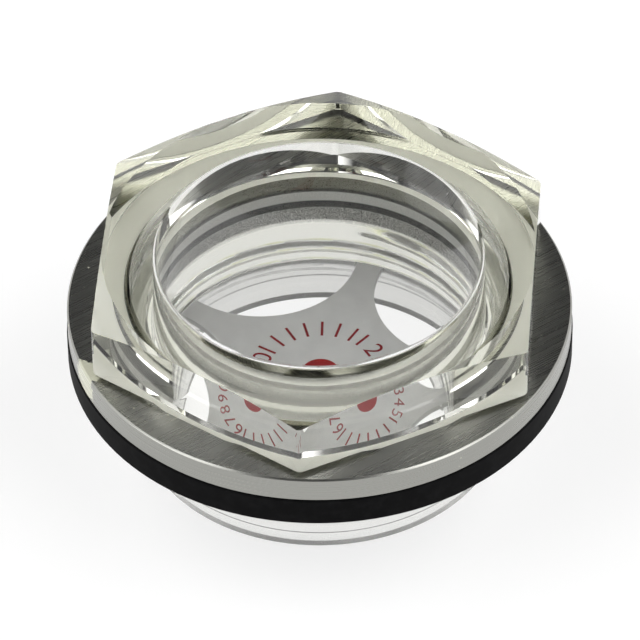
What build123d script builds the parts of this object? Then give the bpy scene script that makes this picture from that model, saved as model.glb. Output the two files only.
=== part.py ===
from build123d import *
import os
from math import cos, pi, radians, tan

# Tank level gauge: a clear moulded plug with a hexagon head, a metal ring, a packing ring and
# a lobed contrast screen. The origin is on the axis in the sealing plane, the underside of the
# packing ring; +Z points out of the tank, through the window, and a hexagon corner is on +Y.

# Hexagon head
hex_across_flats = 37.7
hex_corner_radius = 0.4
head_height = 6.45
head_chamfer_start_diameter = 37.9
head_chamfer_angle = 20.5
seat_face_diameter = 38.2
seat_face_height = 0.4

# Spigot: smooth neck, external pipe thread and a plain end land
thread_major_diameter = 33.24
thread_depth = 1.45
thread_pitch = 2.309
thread_crest_width = 0.55
thread_flank_angle = 27.5
thread_zone_length = 6.8
neck_below_packing = 0.15
end_land_diameter = 32.8
end_land_height = 2.0
end_break = 0.25

# Hollow of the spigot: blind under the window, widening a little towards its mouth, and stepped
# to seat the screen; its walls are measured inwards from the thread crests
window_thickness = 1.1
bore_wall_thickness = 2.12
bore_draft_angle = 0.7
bore_end_fillet = 0.3
screen_seat_depth = 15.7
pocket_wall_thickness = 1.77

# Rings: both are placed from the neck outwards
ring_width = 5.33
ring_thickness = 2.5
ring_clearance = 0.25
ring_edge_break = 0.15
packing_overhang = 0.1
packing_thickness = 2.7
packing_clearance = 0.03
packing_edge_break = 0.1

# Contrast screen
screen_clearance = 0.05
screen_thickness = 0.6
lobe_count = 5
lobe_radius = 8.8
lobe_start_angle = 112.8
screen_hub_diameter = 16.2

# Levels along the axis
ring_top = packing_thickness + ring_thickness
head_top = ring_top + head_height
window_underside = head_top - window_thickness
screen_top = head_top - screen_seat_depth
neck_end = -neck_below_packing
thread_end = neck_end - thread_zone_length
spigot_end = thread_end - end_land_height

# Radii
hex_sides = 6
hex_corner_reach = hex_across_flats / 2 / cos(pi / hex_sides)
chamfer_start = head_chamfer_start_diameter / 2
chamfer_drop = (hex_corner_reach - chamfer_start) * tan(radians(head_chamfer_angle))
seat_face = seat_face_diameter / 2
neck = thread_major_diameter / 2
thread_root = neck - thread_depth
ridge_foot_width = thread_crest_width + 2 * thread_depth * tan(radians(thread_flank_angle))
end_land = end_land_diameter / 2
bore = neck - bore_wall_thickness
bore_slope = tan(radians(bore_draft_angle))
bore_at_fillet = bore + bore_end_fillet * bore_slope
bore_at_screen = bore + (window_underside - screen_top) * bore_slope
pocket = neck - pocket_wall_thickness
ring_outer = neck + ring_clearance + ring_width
packing_outer = ring_outer + packing_overhang
lobe_centre = screen_hub_diameter / 2 + lobe_radius

os.makedirs("parts", exist_ok=True)

# Thread groove between two ridges, swept along a right-hand helix from the neck to the land
groove_floor_width = thread_pitch - ridge_foot_width
groove_mouth_width = thread_pitch - thread_crest_width
groove_run = thread_zone_length - groove_mouth_width
with BuildPart() as thread_groove:
    with BuildLine() as groove_path:
        Helix(thread_pitch, groove_run, neck, center=(0, 0, thread_end + groove_mouth_width / 2))
    groove_start = Plane(groove_path.line @ 0, x_dir=(1, 0, 0), z_dir=groove_path.line % 0)
    with BuildSketch(groove_start):
        with BuildLine():
            Polyline(
                (-thread_depth, -groove_floor_width / 2),
                (0, -groove_mouth_width / 2),
                (thread_depth, -groove_mouth_width / 2),
                (thread_depth, groove_mouth_width / 2),
                (0, groove_mouth_width / 2),
                (-thread_depth, groove_floor_width / 2),
                close=True,
            )
        make_face()
    sweep(path=groove_path.line, is_frenet=True)

# Clear plug: hexagon head turned to its chamfer and seat face, on the hollow threaded spigot
with BuildPart() as clear_plug:
    with BuildSketch(Plane.XY.offset(ring_top)) as hexagon:
        RegularPolygon(hex_across_flats / 2, hex_sides, major_radius=False, rotation=30)
        fillet(hexagon.vertices(), hex_corner_radius)
    extrude(amount=head_height)
    with BuildSketch(Plane.XZ):
        with BuildLine():
            Polyline(
                (0, ring_top),
                (seat_face, ring_top),
                (seat_face, ring_top + seat_face_height),
                (hex_corner_reach, ring_top + seat_face_height),
                (hex_corner_reach, head_top - chamfer_drop),
                (chamfer_start, head_top),
                (0, head_top),
                close=True,
            )
        make_face()
    revolve(axis=Axis.Z, mode=Mode.INTERSECT)
    with BuildSketch(Plane.XZ):
        with BuildLine():
            Polyline(
                (0, ring_top + seat_face_height / 2),
                (neck, ring_top + seat_face_height / 2),
                (neck, thread_end),
                (end_land, thread_end),
                (end_land, spigot_end + end_break),
                (end_land - end_break, spigot_end),
                (0, spigot_end),
                close=True,
            )
        make_face()
    revolve(axis=Axis.Z)
    add(thread_groove.part, mode=Mode.SUBTRACT)
    with BuildSketch(Plane.XZ):
        with BuildLine():
            Line((0, spigot_end), (pocket, spigot_end))
            Line((pocket, spigot_end), (pocket, screen_top))
            Line((pocket, screen_top), (bore_at_screen, screen_top))
            Line((bore_at_screen, screen_top), (bore_at_fillet, window_underside - bore_end_fillet))
            RadiusArc(
                (bore_at_fillet, window_underside - bore_end_fillet),
                (bore_at_fillet - bore_end_fillet, window_underside),
                -bore_end_fillet,
            )
            Line((bore_at_fillet - bore_end_fillet, window_underside), (0, window_underside))
            Line((0, window_underside), (0, spigot_end))
        make_face()
    revolve(axis=Axis.Z, mode=Mode.SUBTRACT)
clear_plug.part.label = "clear_plug"
export_step(clear_plug.part, "parts/clear_plug.step")

# Metal ring under the head
with BuildPart() as metal_washer:
    with BuildSketch(Plane.XY.offset(packing_thickness)):
        Circle(ring_outer)
        Circle(neck + ring_clearance, mode=Mode.SUBTRACT)
    extrude(amount=ring_thickness)
    chamfer(metal_washer.edges(), ring_edge_break)
metal_washer.part.label = "metal_washer"
export_step(metal_washer.part, "parts/metal_washer.step")

# Packing ring under the metal ring
with BuildPart() as packing_ring:
    with BuildSketch(Plane.XY):
        Circle(packing_outer)
        Circle(neck + packing_clearance, mode=Mode.SUBTRACT)
    extrude(amount=packing_thickness)
    circles = packing_ring.edges().filter_by(GeomType.CIRCLE)
    chamfer(circles.sort_by(SortBy.RADIUS)[-2:], packing_edge_break)
packing_ring.part.label = "packing_ring"
export_step(packing_ring.part, "parts/packing_ring.step")

# Contrast screen: a thin disc with round lobes cut from its rim, seated up against the step
with BuildPart() as contrast_screen:
    with BuildSketch(Plane.XY.offset(screen_top - screen_thickness)):
        Circle(pocket - screen_clearance)
        with PolarLocations(lobe_centre, lobe_count, start_angle=lobe_start_angle):
            Circle(lobe_radius, mode=Mode.SUBTRACT)
    extrude(amount=screen_thickness)
contrast_screen.part.label = "contrast_screen"
export_step(contrast_screen.part, "parts/contrast_screen.step")
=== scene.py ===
import bpy
import bmesh
from math import atan2, cos, hypot, pi, radians, sin, tan
from mathutils import Matrix, Vector


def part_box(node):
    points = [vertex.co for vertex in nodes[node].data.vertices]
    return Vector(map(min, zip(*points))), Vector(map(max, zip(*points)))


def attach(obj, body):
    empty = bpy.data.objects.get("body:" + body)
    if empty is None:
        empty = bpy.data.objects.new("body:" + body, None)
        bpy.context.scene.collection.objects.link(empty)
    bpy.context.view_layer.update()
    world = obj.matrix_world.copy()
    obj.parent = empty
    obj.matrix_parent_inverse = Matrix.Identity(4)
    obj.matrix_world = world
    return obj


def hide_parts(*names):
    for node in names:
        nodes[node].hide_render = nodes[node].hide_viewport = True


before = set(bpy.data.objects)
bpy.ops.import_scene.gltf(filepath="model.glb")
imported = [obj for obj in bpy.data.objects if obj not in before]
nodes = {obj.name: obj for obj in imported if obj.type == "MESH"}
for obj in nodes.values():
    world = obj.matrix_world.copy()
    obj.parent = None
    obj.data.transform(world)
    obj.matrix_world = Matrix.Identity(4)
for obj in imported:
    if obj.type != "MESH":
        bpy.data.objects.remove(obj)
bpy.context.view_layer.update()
mm = 0.001

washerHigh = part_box("metal_washer")[1]
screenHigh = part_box("contrast_screen")[1]
plugLow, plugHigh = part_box("clear_plug")
print("frame loaded")


def newMaterial(name):
    material = bpy.data.materials.new(name)
    material.use_nodes = True
    tree = material.node_tree
    return material, tree, tree.nodes["Principled BSDF"]


def objectPoint(tree, scale=(1, 1, 1), turn=0.0):
    place = tree.nodes.new("ShaderNodeTexCoord")
    mapping = tree.nodes.new("ShaderNodeMapping")
    mapping.vector_type = "TEXTURE"
    mapping.inputs["Scale"].default_value = [1 / part for part in scale]
    mapping.inputs["Rotation"].default_value = (0, 0, radians(turn))
    tree.links.new(place.outputs["Object"], mapping.inputs["Vector"])
    return mapping.outputs["Vector"]


def noise(tree, point, scale, detail=2.0, rough=0.5):
    node = tree.nodes.new("ShaderNodeTexNoise")
    node.inputs["Scale"].default_value = scale
    node.inputs["Detail"].default_value = detail
    node.inputs["Roughness"].default_value = rough
    tree.links.new(point, node.inputs["Vector"])
    return node.outputs["Fac"]


def ramp(tree, value, low, high, fromValue, toValue):
    node = tree.nodes.new("ShaderNodeMapRange")
    node.inputs["From Min"].default_value = low
    node.inputs["From Max"].default_value = high
    node.inputs["To Min"].default_value = fromValue
    node.inputs["To Max"].default_value = toValue
    tree.links.new(value, node.inputs["Value"])
    return node.outputs["Result"]


def blendColours(tree, amount, first, second):
    node = tree.nodes.new("ShaderNodeMix")
    node.data_type = "RGBA"
    node.inputs["A"].default_value = (*first, 1)
    node.inputs["B"].default_value = (*second, 1)
    tree.links.new(amount, node.inputs["Factor"])
    return node.outputs["Result"]


def bump(tree, shader, height, strength, distance):
    node = tree.nodes.new("ShaderNodeBump")
    node.inputs["Strength"].default_value = strength
    node.inputs["Distance"].default_value = distance
    tree.links.new(height, node.inputs["Height"])
    tree.links.new(node.outputs["Normal"], shader.inputs["Normal"])


plasticLook = {
    "ior": 1.51,
    "tint": (0.80, 0.82, 0.30),
    "tintDensity": 9.0,
    "mattColour": (0.94, 0.94, 0.93),
    "mattRough": 0.6,
    "paleRingColour": (0.96, 0.96, 0.86),
    "paleRingClear": 0.06,
    # the pale matt ring under the head lies off centre: middles and radii of its two edges in mm
    "paleRingMiddle": (0, -3.1, 5.4),
    "paleRingRadius": 20.9,
    "paleRingHoleMiddle": (0, -0.9, 5.4),
    "paleRingHoleRadius": 17.0,
    "paleRingEdge": 0.1,
    "neckRough": 0.2,
    # height in mm, share of clear plastic, strength of the speckle in it
    "neckBands": (
        (-9.0, 0.85, 0.0), (-7.0, 0.85, 0.0),
        (-6.9, 0.80, 0.0), (-0.4, 0.80, 0.0),
        (-0.2, 0.40, 0.5), (1.5, 0.40, 0.5),
        (1.6, 0.95, 0.0), (2.3, 0.95, 0.0),
        (2.4, 0.10, 0.1), (3.4, 0.10, 0.1),
        (3.5, 1.0, 0.0), (5.2, 1.0, 0.0)),
    "speckleScale": 11000.0,
    "speckleRange": (0.38, 0.62),
}


def clearPlastic(name, rough, colour=(1, 1, 1)):
    material, tree, shader = newMaterial(name)
    shader.inputs["Base Color"].default_value = (*colour, 1)
    shader.inputs["Transmission Weight"].default_value = 1
    shader.inputs["Roughness"].default_value = rough
    shader.inputs["IOR"].default_value = plasticLook["ior"]
    absorb = tree.nodes.new("ShaderNodeVolumeAbsorption")
    absorb.inputs["Color"].default_value = (*plasticLook["tint"], 1)
    absorb.inputs["Density"].default_value = plasticLook["tintDensity"]
    tree.links.new(absorb.outputs["Volume"], tree.nodes["Material Output"].inputs["Volume"])
    return material


def neckPlastic(name):
    # bands by height along the neck and thread: the ramp's red is clear share, its green speckle
    look = plasticLook
    material = clearPlastic(name, look["neckRough"], look["mattColour"])
    tree = material.node_tree
    shader = tree.nodes["Principled BSDF"]
    point = objectPoint(tree)
    split = tree.nodes.new("ShaderNodeSeparateXYZ")
    tree.links.new(point, split.inputs["Vector"])
    bands = look["neckBands"]
    low, high = bands[0][0], bands[-1][0]
    height = ramp(tree, split.outputs["Z"], low * mm, high * mm, 0, 1)
    curve = tree.nodes.new("ShaderNodeValToRGB")
    tree.links.new(height, curve.inputs["Fac"])
    elements = curve.color_ramp.elements
    elements[0].color = (*bands[0][1:], 0, 1)
    elements[1].color = (*bands[-1][1:], 0, 1)
    for level, clear, strength in bands[1:-1]:
        elements.new((level - low) / (high - low)).color = (clear, strength, 0, 1)
    parts = tree.nodes.new("ShaderNodeSeparateColor")
    tree.links.new(curve.outputs["Color"], parts.inputs["Color"])
    speckle = noise(tree, point, look["speckleScale"], 2.0, 0.6)
    grain = ramp(tree, speckle, *look["speckleRange"], -1, 1)
    total = tree.nodes.new("ShaderNodeMath")
    total.operation = "MULTIPLY_ADD"
    total.use_clamp = True
    tree.links.new(grain, total.inputs[0])
    tree.links.new(parts.outputs["Green"], total.inputs[1])
    tree.links.new(parts.outputs["Red"], total.inputs[2])
    tree.links.new(total.outputs[0], shader.inputs["Transmission Weight"])
    return material


def larger(tree, first, second):
    node = tree.nodes.new("ShaderNodeMath")
    node.operation = "MAXIMUM"
    tree.links.new(first, node.inputs[0])
    tree.links.new(second, node.inputs[1])
    return node.outputs[0]


def distanceFrom(tree, point, middle):
    node = tree.nodes.new("ShaderNodeVectorMath")
    node.operation = "DISTANCE"
    node.inputs[1].default_value = [part * mm for part in middle]
    tree.links.new(point, node.inputs[0])
    return node.outputs["Value"]


def underHead(name):
    # clear moulding with a pale matt ring on its underside, both of its edges off centre
    look = plasticLook
    material = clearPlastic(name, look["mattRough"], look["paleRingColour"])
    tree = material.node_tree
    shader = tree.nodes["Principled BSDF"]
    point = objectPoint(tree)
    soft = look["paleRingEdge"] * mm
    edge = look["paleRingRadius"] * mm
    outside = ramp(tree, distanceFrom(tree, point, look["paleRingMiddle"]), edge - soft, edge + soft, 0, 1)
    edge = look["paleRingHoleRadius"] * mm
    inside = ramp(tree, distanceFrom(tree, point, look["paleRingHoleMiddle"]), edge - soft, edge + soft, 1, 0)
    bare = larger(tree, outside, inside)
    clear = ramp(tree, bare, 0, 1, look["paleRingClear"], 1)
    rough = ramp(tree, bare, 0, 1, look["mattRough"], 0)
    tree.links.new(clear, shader.inputs["Transmission Weight"])
    tree.links.new(rough, shader.inputs["Roughness"])
    return material


metalLook = {
    "colour": (0.36, 0.36, 0.335),
    "rough": (0.24, 0.34),
    "grainTurn": 40.0,
    "grainScale": (45, 11000, 11000),
    "grainStrength": 0.2,
    "grainDepth": 0.00006,
    # the pale patch on the rim: its middle in mm, its reach in mm and its amount at the two ends of that
    # reach
    "paleSpotMiddle": (-19.9, -10.4, 4.3),
    "paleSpotReach": (1.3, 2.3),
    "paleSpotAmount": (0.75, 0.25),
    "raggedScale": 1500.0,
    "raggedEdge": 0.01,
    "paleSpotColour": (0.62, 0.62, 0.50),
    # lines round the rim, and how far inside its outer edge they begin, in mm
    "sideScale": (90, 90, 9000),
    "rimInside": (0.25, 0.15),
    "speckScale": 1900.0,
    "speckShare": (0.775, 0.785),
    "speckStrength": 0.7,
}


def brushedMetal(name):
    look = metalLook
    material, tree, shader = newMaterial(name)
    shader.inputs["Metallic"].default_value = 1.0
    shader.inputs["Base Color"].default_value = (*look["colour"], 1)
    # straight brushing on the faces, turned lines round the rim
    place = objectPoint(tree)
    flat = noise(tree, objectPoint(tree, look["grainScale"], look["grainTurn"]), 1.0, 3.0)
    turned = noise(tree, objectPoint(tree, look["sideScale"]), 1.0, 3.0)
    # heights all but flattened, so that this is the distance from the axis
    radius = distanceFrom(tree, objectPoint(tree, (1, 1, 0.001)), (0, 0, 0))
    start, end = (washerHigh.x - part * mm for part in look["rimInside"])
    grain = tree.nodes.new("ShaderNodeMix")
    tree.links.new(ramp(tree, radius, start, end, 0, 1), grain.inputs["Factor"])
    tree.links.new(flat, grain.inputs["A"])
    tree.links.new(turned, grain.inputs["B"])
    grain = grain.outputs["Result"]
    tree.links.new(ramp(tree, grain, 0.3, 0.7, *look["rough"]), shader.inputs["Roughness"])
    bump(tree, shader, grain, look["grainStrength"], look["grainDepth"])
    # a pale, less metallic patch on the rim with a ragged edge, and small pale specks all over
    near = ramp(tree, distanceFrom(tree, place, look["paleSpotMiddle"]),
                *(reach * mm for reach in look["paleSpotReach"]), *look["paleSpotAmount"])
    ragged = tree.nodes.new("ShaderNodeMath")
    ragged.operation = "SUBTRACT"
    tree.links.new(near, ragged.inputs[0])
    tree.links.new(noise(tree, place, look["raggedScale"], 4.0, 0.65), ragged.inputs[1])
    paleSpot = ramp(tree, ragged.outputs[0], -look["raggedEdge"], look["raggedEdge"], 0, 1)
    specks = ramp(tree, noise(tree, place, look["speckScale"], 1.0), *look["speckShare"],
                  0, look["speckStrength"])
    pale = larger(tree, paleSpot, specks)
    tree.links.new(blendColours(tree, pale, look["colour"], look["paleSpotColour"]),
                   shader.inputs["Base Color"])
    tree.links.new(ramp(tree, pale, 0, 1, 1, 0), shader.inputs["Metallic"])
    return material


rubberLook = {
    "colour": (0.003, 0.003, 0.0033),
    "dust": (0.008, 0.008, 0.0085),
    "dustScale": 900.0,
    "dustRange": (0.45, 0.8),
    "rough": 0.6,
    "sheen": 0.05,
    "bumpStrength": 0.25,
    "bumpDepth": 0.00004,
}


def blackRubber(name):
    look = rubberLook
    material, tree, shader = newMaterial(name)
    shader.inputs["Roughness"].default_value = look["rough"]
    shader.inputs["Specular IOR Level"].default_value = look["sheen"]
    dust = noise(tree, objectPoint(tree), look["dustScale"], 4.0, 0.6)
    amount = ramp(tree, dust, *look["dustRange"], 0, 1)
    tree.links.new(blendColours(tree, amount, look["colour"], look["dust"]), shader.inputs["Base Color"])
    bump(tree, shader, dust, look["bumpStrength"], look["bumpDepth"])
    return material


screenLook = {
    "grey": (0.84, 0.84, 0.83),
    "ink": (0.33, 0.010, 0.016),
    "dotInk": (0.42, 0.008, 0.010),
    "greyRough": 0.45,
    "inkRough": 0.45,
    "dotRough": 0.4,
    "cloudScale": 600.0,
    "cloudDark": 0.93,
}


def screenPaint(name, colour, rough):
    material, tree, shader = newMaterial(name)
    shader.inputs["Roughness"].default_value = rough
    cloud = noise(tree, objectPoint(tree), screenLook["cloudScale"], 3.0)
    darker = tuple(screenLook["cloudDark"] * part for part in colour)
    tree.links.new(blendColours(tree, ramp(tree, cloud, 0.35, 0.65, 0, 1), darker, colour),
                   shader.inputs["Base Color"])
    return material


def dress(node, material):
    data = nodes[node].data
    data.materials.clear()
    data.materials.append(material)


dress("metal_washer", brushedMetal("brushedMetal"))
dress("packing_ring", blackRubber("blackRubber"))
dress("contrast_screen", screenPaint("screenGrey", screenLook["grey"], screenLook["greyRough"]))
print("ring and screen finishes done")


# lengths in mm, angles in degrees
plug = {
    "acrossFlats": 37.7,
    "cornerRound": 0.35,
    "cornerSegments": 4,
    # the turned blank stands out past the hexagon's corners by this radius
    "blankRadius": 24.0,
    "coneStart": 18.95,
    "coneAngle": 20.5,
    "seatRadius": 19.1,
    "seatHeight": 0.4,
    "windowThickness": 1.1,
    "boreRadius": 14.5,
    "boreDraft": 0.7,
    "boreFillet": 0.3,
    "filletSteps": 8,
    # a ring of points each side of the fillet keeps the shading flat beyond it
    "filletMargin": 0.04,
    "pocketRadius": 14.85,
    "neckRadius": 16.62,
    "threadDepth": 1.45,
    "pitch": 2.309,
    "grooveMouth": 1.759,
    "grooveFloor": 0.25,
    "threadTop": -0.15,
    "threadBottom": -6.95,
    "threadRows": 62,
    "threadRunOut": 0.12,
    "landRadius": 16.4,
    "endBreak": 0.25,
    # the moulding stands off the ring and the screen, so that no two faces coincide
    "restGap": 0.02,
    "turnSteps": 288,
    "sharpAngle": 14,
}


def plugProfile():
    p = plug
    top = plugHigh.z / mm
    bottom = plugLow.z / mm
    seat = washerHigh.z / mm + p["restGap"]
    step = screenHigh.z / mm + p["restGap"]
    under = top - p["windowThickness"]
    fillet = p["boreFillet"]
    slope = tan(radians(p["boreDraft"]))
    inner = p["boreRadius"] - fillet
    margin = p["filletMargin"]
    points = [(0, under), (inner - margin, under)]
    for index in range(p["filletSteps"] + 1):
        angle = radians(90 - 90 / p["filletSteps"] * index)
        points.append((inner + fillet * cos(angle), under - fillet + fillet * sin(angle)))
    points += [
        (p["boreRadius"] + (fillet + margin) * slope, under - fillet - margin),
        (p["boreRadius"] + (under - step) * slope, step),
        (p["pocketRadius"], step),
        (p["pocketRadius"], bottom),
        (p["landRadius"] - p["endBreak"], bottom),
        (p["landRadius"], bottom + p["endBreak"]),
        (p["landRadius"], p["threadBottom"]),
        (p["neckRadius"], p["threadBottom"]),
    ]
    # close rows of points over the threaded length, for cutThread to move
    rise = p["threadTop"] - p["threadBottom"]
    for index in range(1, p["threadRows"] + 1):
        points.append((p["neckRadius"], p["threadBottom"] + rise * index / p["threadRows"]))
    coneOuter = top - tan(radians(p["coneAngle"])) * (p["blankRadius"] - p["coneStart"])
    points += [
        (p["neckRadius"], seat),
        (p["seatRadius"], seat),
        (p["seatRadius"], seat + p["seatHeight"]),
        (p["blankRadius"], seat + p["seatHeight"]),
        (p["blankRadius"], coneOuter),
        (p["coneStart"], top),
        (0, top),
    ]
    return points


def smoothStep(value):
    value = min(max(value, 0.0), 1.0)
    return value * value * (3 - 2 * value)


def cutThread(mesh):
    # points near the right-hand helix move inwards; the groove fades at its two ends
    p = plug
    start = p["threadBottom"] + p["grooveMouth"] / 2
    run = p["threadTop"] - p["threadBottom"] - p["grooveMouth"]
    for vertex in mesh.verts:
        x, y, z = vertex.co / mm
        radius = hypot(x, y)
        if abs(radius - p["neckRadius"]) > 0.01 or not p["threadBottom"] < z < p["threadTop"]:
            continue
        turn = (atan2(y, x) / (2 * pi)) % 1.0
        along = start + p["pitch"] * (turn + round((z - start) / p["pitch"] - turn))
        fade = smoothStep((along - start) / p["threadRunOut"] + 1)
        fade *= smoothStep((start + run - along) / p["threadRunOut"] + 1)
        flank = (p["grooveMouth"] - p["grooveFloor"]) / 2
        depth = 1 - smoothStep((abs(z - along) - p["grooveFloor"] / 2) / flank)
        newRadius = radius - p["threadDepth"] * depth * fade
        vertex.co.x *= newRadius / radius
        vertex.co.y *= newRadius / radius


def cutFlats(mesh):
    p = plug
    for index in range(6):
        angle = radians(60 * index)
        normal = Vector((cos(angle), sin(angle), 0))
        cut = bmesh.ops.bisect_plane(
            mesh, geom=mesh.verts[:] + mesh.edges[:] + mesh.faces[:], dist=1e-7,
            plane_co=normal * p["acrossFlats"] / 2 * mm, plane_no=normal, clear_outer=True)
        rim = [item for item in cut["geom_cut"] if isinstance(item, bmesh.types.BMEdge)]
        bmesh.ops.contextual_create(mesh, geom=rim)


def roundCorners(mesh):
    p = plug
    corner = p["acrossFlats"] / 2 / cos(radians(30)) * mm
    upright = []
    for edge in mesh.edges:
        first, second = (vertex.co for vertex in edge.verts)
        far = min(hypot(first.x, first.y), hypot(second.x, second.y))
        if far > corner - 0.02 * mm and abs(first.z - second.z) > 2 * mm:
            upright.append(edge)
    bmesh.ops.bevel(mesh, geom=upright, offset=p["cornerRound"] * mm, offset_type="OFFSET",
                    affect="EDGES", segments=p["cornerSegments"], profile=0.5, material=-1)
    return len(upright)


def buildPlug():
    p = plug
    mesh = bmesh.new()
    chain = [mesh.verts.new((radius * mm, 0, height * mm)) for radius, height in plugProfile()]
    for first, second in zip(chain, chain[1:]):
        mesh.edges.new((first, second))
    bmesh.ops.spin(mesh, geom=mesh.verts[:] + mesh.edges[:], cent=(0, 0, 0), axis=(0, 0, 1),
                   angle=2 * pi, steps=p["turnSteps"], use_merge=True)
    bmesh.ops.remove_doubles(mesh, verts=mesh.verts[:], dist=1e-7)
    cutThread(mesh)
    cutFlats(mesh)
    print("corners rounded:", roundCorners(mesh))
    bmesh.ops.recalc_face_normals(mesh, faces=mesh.faces[:])
    for face in mesh.faces:
        face.smooth = True
        centre = face.calc_center_median() / mm
        radius = hypot(centre.x, centre.y)
        underside = centre.z > 0 and radius > p["neckRadius"] and face.normal.z < -0.9
        neck = radius > p["pocketRadius"] + 0.1 and centre.z < washerHigh.z / mm
        neck = neck or centre.z < screenHigh.z / mm
        face.material_index = 1 if underside else 2 if neck else 0
    data = bpy.data.meshes.new("plugMoulding")
    mesh.to_mesh(data)
    mesh.free()
    data.set_sharp_from_angle(angle=radians(p["sharpAngle"]))
    piece = bpy.data.objects.new("plugMoulding", data)
    bpy.context.scene.collection.objects.link(piece)
    return piece


plugPiece = buildPlug()
# in the order of the faces' material_index: clear, underside, neck
plugPiece.data.materials.append(clearPlastic("clearPlastic", 0.0))
plugPiece.data.materials.append(underHead("paleRingPlastic"))
plugPiece.data.materials.append(neckPlastic("neckPlastic"))
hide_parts("clear_plug")
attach(plugPiece, "root")
print("clear plug done")


# lengths in mm, angles in degrees; each group is its digits and the angle of its middle
printing = {
    "lift": 0.012,
    "dotRadius": 1.7,
    "tickInner": 4.7,
    "tickOuter": 6.5,
    "tickWidth": 0.24,
    "tickCount": 7,
    "tickStep": 15.0,
    "groupAngles": (108.0, 288.0),
    "digitSize": 2.5,
    "digitStep": 17.0,
    "digitGroups": (("12345", 18.0), ("67890", 198.0)),
}


def printPiece(name, mesh, material):
    bmesh.ops.recalc_face_normals(mesh, faces=mesh.faces[:])
    data = bpy.data.meshes.new(name)
    mesh.to_mesh(data)
    mesh.free()
    data.materials.append(material)
    piece = bpy.data.objects.new(name, data)
    bpy.context.scene.collection.objects.link(piece)
    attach(piece, "root")
    return piece


def printLevel():
    return screenHigh.z + printing["lift"] * mm


def printDot(material):
    mesh = bmesh.new()
    bmesh.ops.create_circle(mesh, cap_ends=True, segments=96, radius=printing["dotRadius"] * mm,
                            matrix=Matrix.Translation((0, 0, printLevel())))
    return printPiece("redDot", mesh, material)


def printTicks(material):
    p = printing
    mesh = bmesh.new()
    length = p["tickOuter"] - p["tickInner"]
    for group in p["groupAngles"]:
        for index in range(p["tickCount"]):
            angle = radians(group + (index - (p["tickCount"] - 1) / 2) * p["tickStep"])
            place = (Matrix.Translation((0, 0, printLevel())) @ Matrix.Rotation(angle, 4, "Z")
                     @ Matrix.Translation(((p["tickInner"] + length / 2) * mm, 0, 0))
                     @ Matrix.Diagonal((length / 2 * mm, p["tickWidth"] / 2 * mm, 1, 1)))
            bmesh.ops.create_grid(mesh, x_segments=1, y_segments=1, size=1, matrix=place)
    return printPiece("redTicks", mesh, material)


def printDigits(material):
    p = printing
    mesh = bmesh.new()
    for digits, middle in p["digitGroups"]:
        for index, digit in enumerate(digits):
            curve = bpy.data.curves.new("digit", "FONT")
            curve.body = digit
            curve.size = p["digitSize"] * mm
            curve.align_x = "CENTER"
            holder = bpy.data.objects.new("digit", curve)
            flat = bpy.data.meshes.new_from_object(holder)
            angle = radians(middle + ((len(digits) - 1) / 2 - index) * p["digitStep"])
            outwards = Matrix.Translation((0, p["tickInner"] * mm, 0))
            upright = Matrix.Rotation(angle - pi / 2, 4, "Z")
            flat.transform(Matrix.Translation((0, 0, printLevel())) @ upright @ outwards)
            mesh.from_mesh(flat)
            bpy.data.objects.remove(holder)
            bpy.data.curves.remove(curve)
            bpy.data.meshes.remove(flat)
    return printPiece("redDigits", mesh, material)


ink = screenPaint("redInk", screenLook["ink"], screenLook["inkRough"])
dotInk = screenPaint("redDotInk", screenLook["dotInk"], screenLook["dotRough"])
printDot(dotInk)
printTicks(ink)
printDigits(ink)
print("print done")


studio = {
    "floorSize": 1.5,
    "floorColour": (0.85, 0.85, 0.85),
    "floorWhite": 1.0,
    "floorGap": 0.00002,
    # the camera sees a floor that is part glow and part lit, which keeps the shadow
    "seenGlow": 0.70,
    "seenColour": (0.34, 0.34, 0.34),
}


def diffuse(tree, colour):
    node = tree.nodes.new("ShaderNodeBsdfDiffuse")
    node.inputs["Color"].default_value = (*colour, 1)
    return node.outputs["BSDF"]


def glow(tree, strength):
    node = tree.nodes.new("ShaderNodeEmission")
    node.inputs["Strength"].default_value = strength
    return node.outputs["Emission"]


def mixShaders(tree, amount, first, second):
    node = tree.nodes.new("ShaderNodeMixShader")
    tree.links.new(amount, node.inputs["Fac"])
    tree.links.new(first, node.inputs[1])
    tree.links.new(second, node.inputs[2])
    return node.outputs["Shader"]


def buildFloor():
    mesh = bmesh.new()
    bmesh.ops.create_grid(mesh, x_segments=1, y_segments=1, size=studio["floorSize"],
                          matrix=Matrix.Translation((0, 0, plugLow.z - studio["floorGap"])))
    data = bpy.data.meshes.new("paleFloor")
    mesh.to_mesh(data)
    mesh.free()
    material = bpy.data.materials.new("paleFloor")
    material.use_nodes = True
    tree = material.node_tree
    tree.nodes.remove(tree.nodes["Principled BSDF"])
    rays = tree.nodes.new("ShaderNodeLightPath")
    matt = diffuse(tree, studio["floorColour"])
    white = glow(tree, studio["floorWhite"])
    # metal and clear plastic see the floor white
    through = larger(tree, rays.outputs["Is Glossy Ray"], rays.outputs["Is Transmission Ray"])
    indirect = mixShaders(tree, through, matt, white)
    seen = tree.nodes.new("ShaderNodeAddShader")
    tree.links.new(glow(tree, studio["seenGlow"]), seen.inputs[0])
    tree.links.new(diffuse(tree, studio["seenColour"]), seen.inputs[1])
    surface = mixShaders(tree, rays.outputs["Is Camera Ray"], indirect, seen.outputs["Shader"])
    tree.links.new(surface, tree.nodes["Material Output"].inputs["Surface"])
    data.materials.append(material)
    floor = bpy.data.objects.new("paleFloor", data)
    bpy.context.scene.collection.objects.link(floor)


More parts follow.
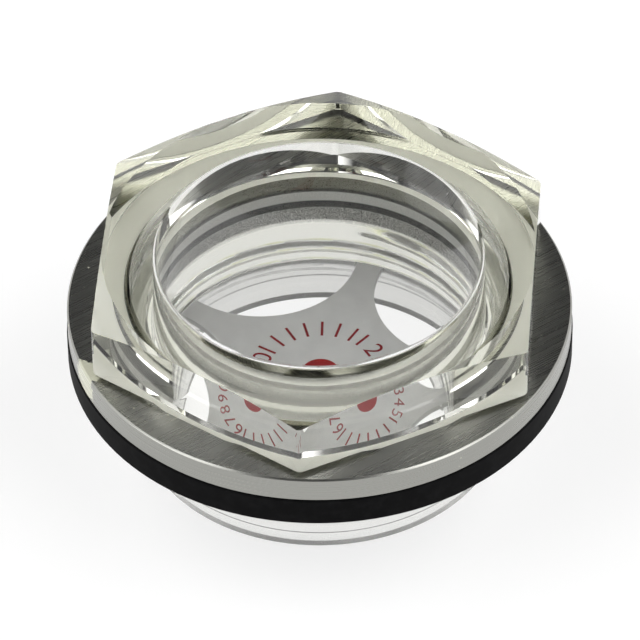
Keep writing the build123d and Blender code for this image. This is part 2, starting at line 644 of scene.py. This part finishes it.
# levels of light; the edges are heights, and lampSide distances sideways, on the unit sphere
sky = {
    "horizonLevel": 1.0,
    "ceilingLevel": 0.05,
    "ceilingEdge": (0.33, 0.45),
    "lampLevel": 3.7,
    "lampEdge": (0.50, 0.62),
    "lampSide": (0.38, 0.55),
}


def buildSky():
    # white all round low down, a wide lamp on the left and the right, a dark ceiling between them
    world = bpy.data.worlds.new("studioSky")
    bpy.context.scene.world = world
    world.use_nodes = True
    tree = world.node_tree
    place = tree.nodes.new("ShaderNodeTexCoord")
    split = tree.nodes.new("ShaderNodeSeparateXYZ")
    tree.links.new(place.outputs["Generated"], split.inputs["Vector"])
    side = tree.nodes.new("ShaderNodeMath")
    side.operation = "ABSOLUTE"
    tree.links.new(split.outputs["X"], side.inputs[0])
    up = split.outputs["Z"]
    level = tree.nodes.new("ShaderNodeMix")
    sideways = ramp(tree, side.outputs[0], *sky["lampSide"], 0, 1)
    ceiling = ramp(tree, up, *sky["ceilingEdge"], sky["horizonLevel"], sky["ceilingLevel"])
    lamps = ramp(tree, up, *sky["lampEdge"], sky["horizonLevel"], sky["lampLevel"])
    tree.links.new(sideways, level.inputs["Factor"])
    tree.links.new(ceiling, level.inputs["A"])
    tree.links.new(lamps, level.inputs["B"])
    background = tree.nodes["Background"]
    background.inputs["Color"].default_value = (1, 1, 1, 1)
    tree.links.new(level.outputs["Result"], background.inputs["Strength"])


view = {
    "location": (0.032544, -0.364356, 0.352162),
    "turn": (46.322, 0.624, 4.504),
    "lens": 322.67,
    "sensor": 36,
    "farEnd": 10,
}


def buildCamera():
    lens = bpy.data.cameras.new("mainCamera")
    lens.lens = view["lens"]
    lens.sensor_width = view["sensor"]
    lens.clip_end = view["farEnd"]
    camera = bpy.data.objects.new("mainCamera", lens)
    camera.location = view["location"]
    camera.rotation_euler = [radians(angle) for angle in view["turn"]]
    bpy.context.scene.collection.objects.link(camera)
    bpy.context.scene.camera = camera


buildFloor()
buildSky()
buildCamera()
bpy.context.scene.view_settings.view_transform = "Standard"
print("floor, light and camera done")
